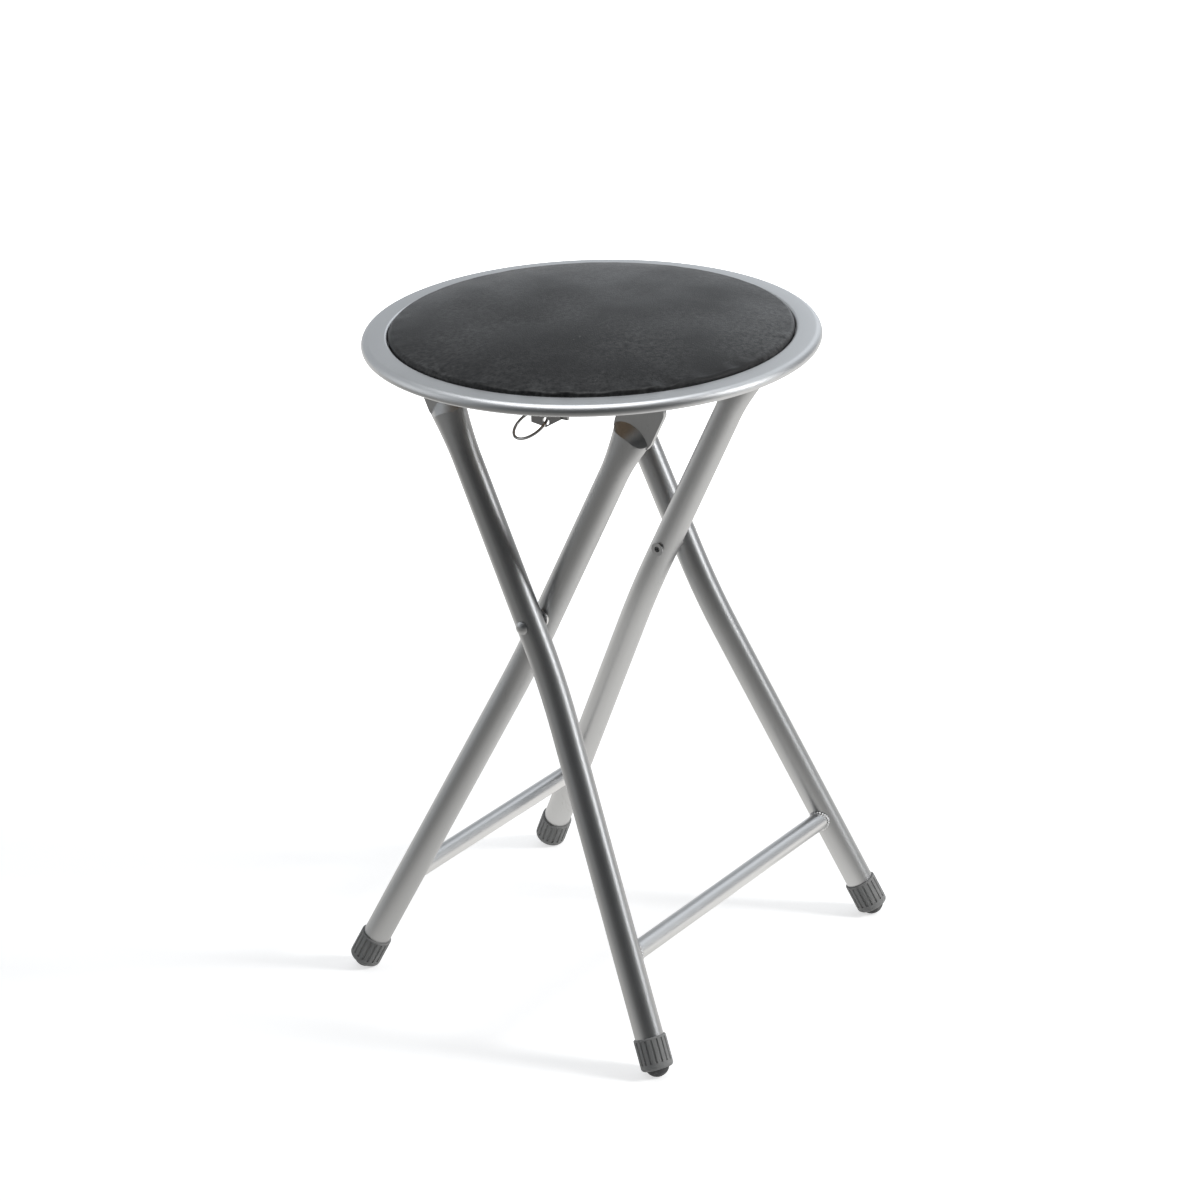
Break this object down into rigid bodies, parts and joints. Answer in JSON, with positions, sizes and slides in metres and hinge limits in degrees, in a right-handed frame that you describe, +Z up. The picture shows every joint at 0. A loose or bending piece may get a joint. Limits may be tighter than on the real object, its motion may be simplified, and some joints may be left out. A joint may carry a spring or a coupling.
{
  "type": "folding stool",
  "caption": "Round padded folding stool: black vinyl seat in a pressed metal rim on crossed silver tube legs, with crossbars, ribbed rubber feet and a wire pull loop under the seat.",
  "frame": {"origin": "on the floor, below the middle of the round seat", "axes": "+Z up, +X along the fold axes, +Y from the outer frame's feet towards the inner frame's feet"},
  "size_m": [0.3, 0.3, 0.4601],
  "materials": {
    "tube_paint": "silver paint, satin",
    "bar_paint": "silver paint, satin",
    "rim_metal": "silver paint, satin",
    "rivet_steel": "zinc plated",
    "bracket_steel": "zinc plated",
    "wire_steel": "bright wire",
    "washer_nylon": "matt",
    "foot_rubber": "matt, ribbed",
    "nub_rubber": "matt",
    "board_wood": "bare hardboard",
    "foam_core": "open foam",
    "vinyl_black": "vinyl with fine grain"
  },
  "bodies": {
    "inner_frame": {"inner_leg_left": "tube_paint", "inner_foot_cap_left": "foot_rubber", "inner_foot_nub_left": "nub_rubber", "pivot_rivet_left": "rivet_steel", "pivot_washer_left": "washer_nylon", "hinge_rivet_left": "rivet_steel", "hinge_washer_left": "washer_nylon", "inner_leg_right": "tube_paint", "inner_foot_cap_right": "foot_rubber", "inner_foot_nub_right": "nub_rubber", "pivot_rivet_right": "rivet_steel", "pivot_washer_right": "washer_nylon", "hinge_rivet_right": "rivet_steel", "hinge_washer_right": "washer_nylon", "inner_crossbar": "bar_paint"},
    "outer_frame": {"outer_leg_left": "tube_paint", "outer_foot_cap_left": "foot_rubber", "outer_foot_nub_left": "nub_rubber", "saddle_stud_left": "rivet_steel", "outer_leg_right": "tube_paint", "outer_foot_cap_right": "foot_rubber", "outer_foot_nub_right": "nub_rubber", "saddle_stud_right": "rivet_steel", "outer_crossbar": "bar_paint"},
    "seat": {"hinge_bracket_left": "bracket_steel", "saddle_rail_left": "bracket_steel", "hinge_bracket_right": "bracket_steel", "saddle_rail_right": "bracket_steel", "seat_rim": "rim_metal", "seat_board": "board_wood", "seat_foam": "foam_core", "seat_cover": "vinyl_black", "bracket_screws": "rivet_steel", "pull_tab": "bracket_steel", "tab_rivets": "rivet_steel"},
    "pull_loop": {"pull_loop": "wire_steel"}
  },
  "joints": [
    {"name": "seat_lift", "type": "hinge", "parent": "inner_frame", "child": "seat", "pos_m": [0, -0.08356, 0.4265], "axis": [1, 0, 0], "range_deg": [0, 116.75]},
    {"name": "leg_fold", "type": "hinge", "parent": "inner_frame", "child": "outer_frame", "pos_m": [0, -0.0076, 0.2758], "axis": [1, 0, 0], "range_deg": [0, 46.5]},
    {"name": "loop_swing", "type": "hinge", "parent": "seat", "child": "pull_loop", "pos_m": [-0.07875, -0.0181, 0.4136], "axis": [1, 0, 0], "range_deg": [-70, 10]}
  ],
  "couplings": [
    {"joint": "leg_fold", "follows": "seat_lift", "ratio": 0.39829}
  ]
}
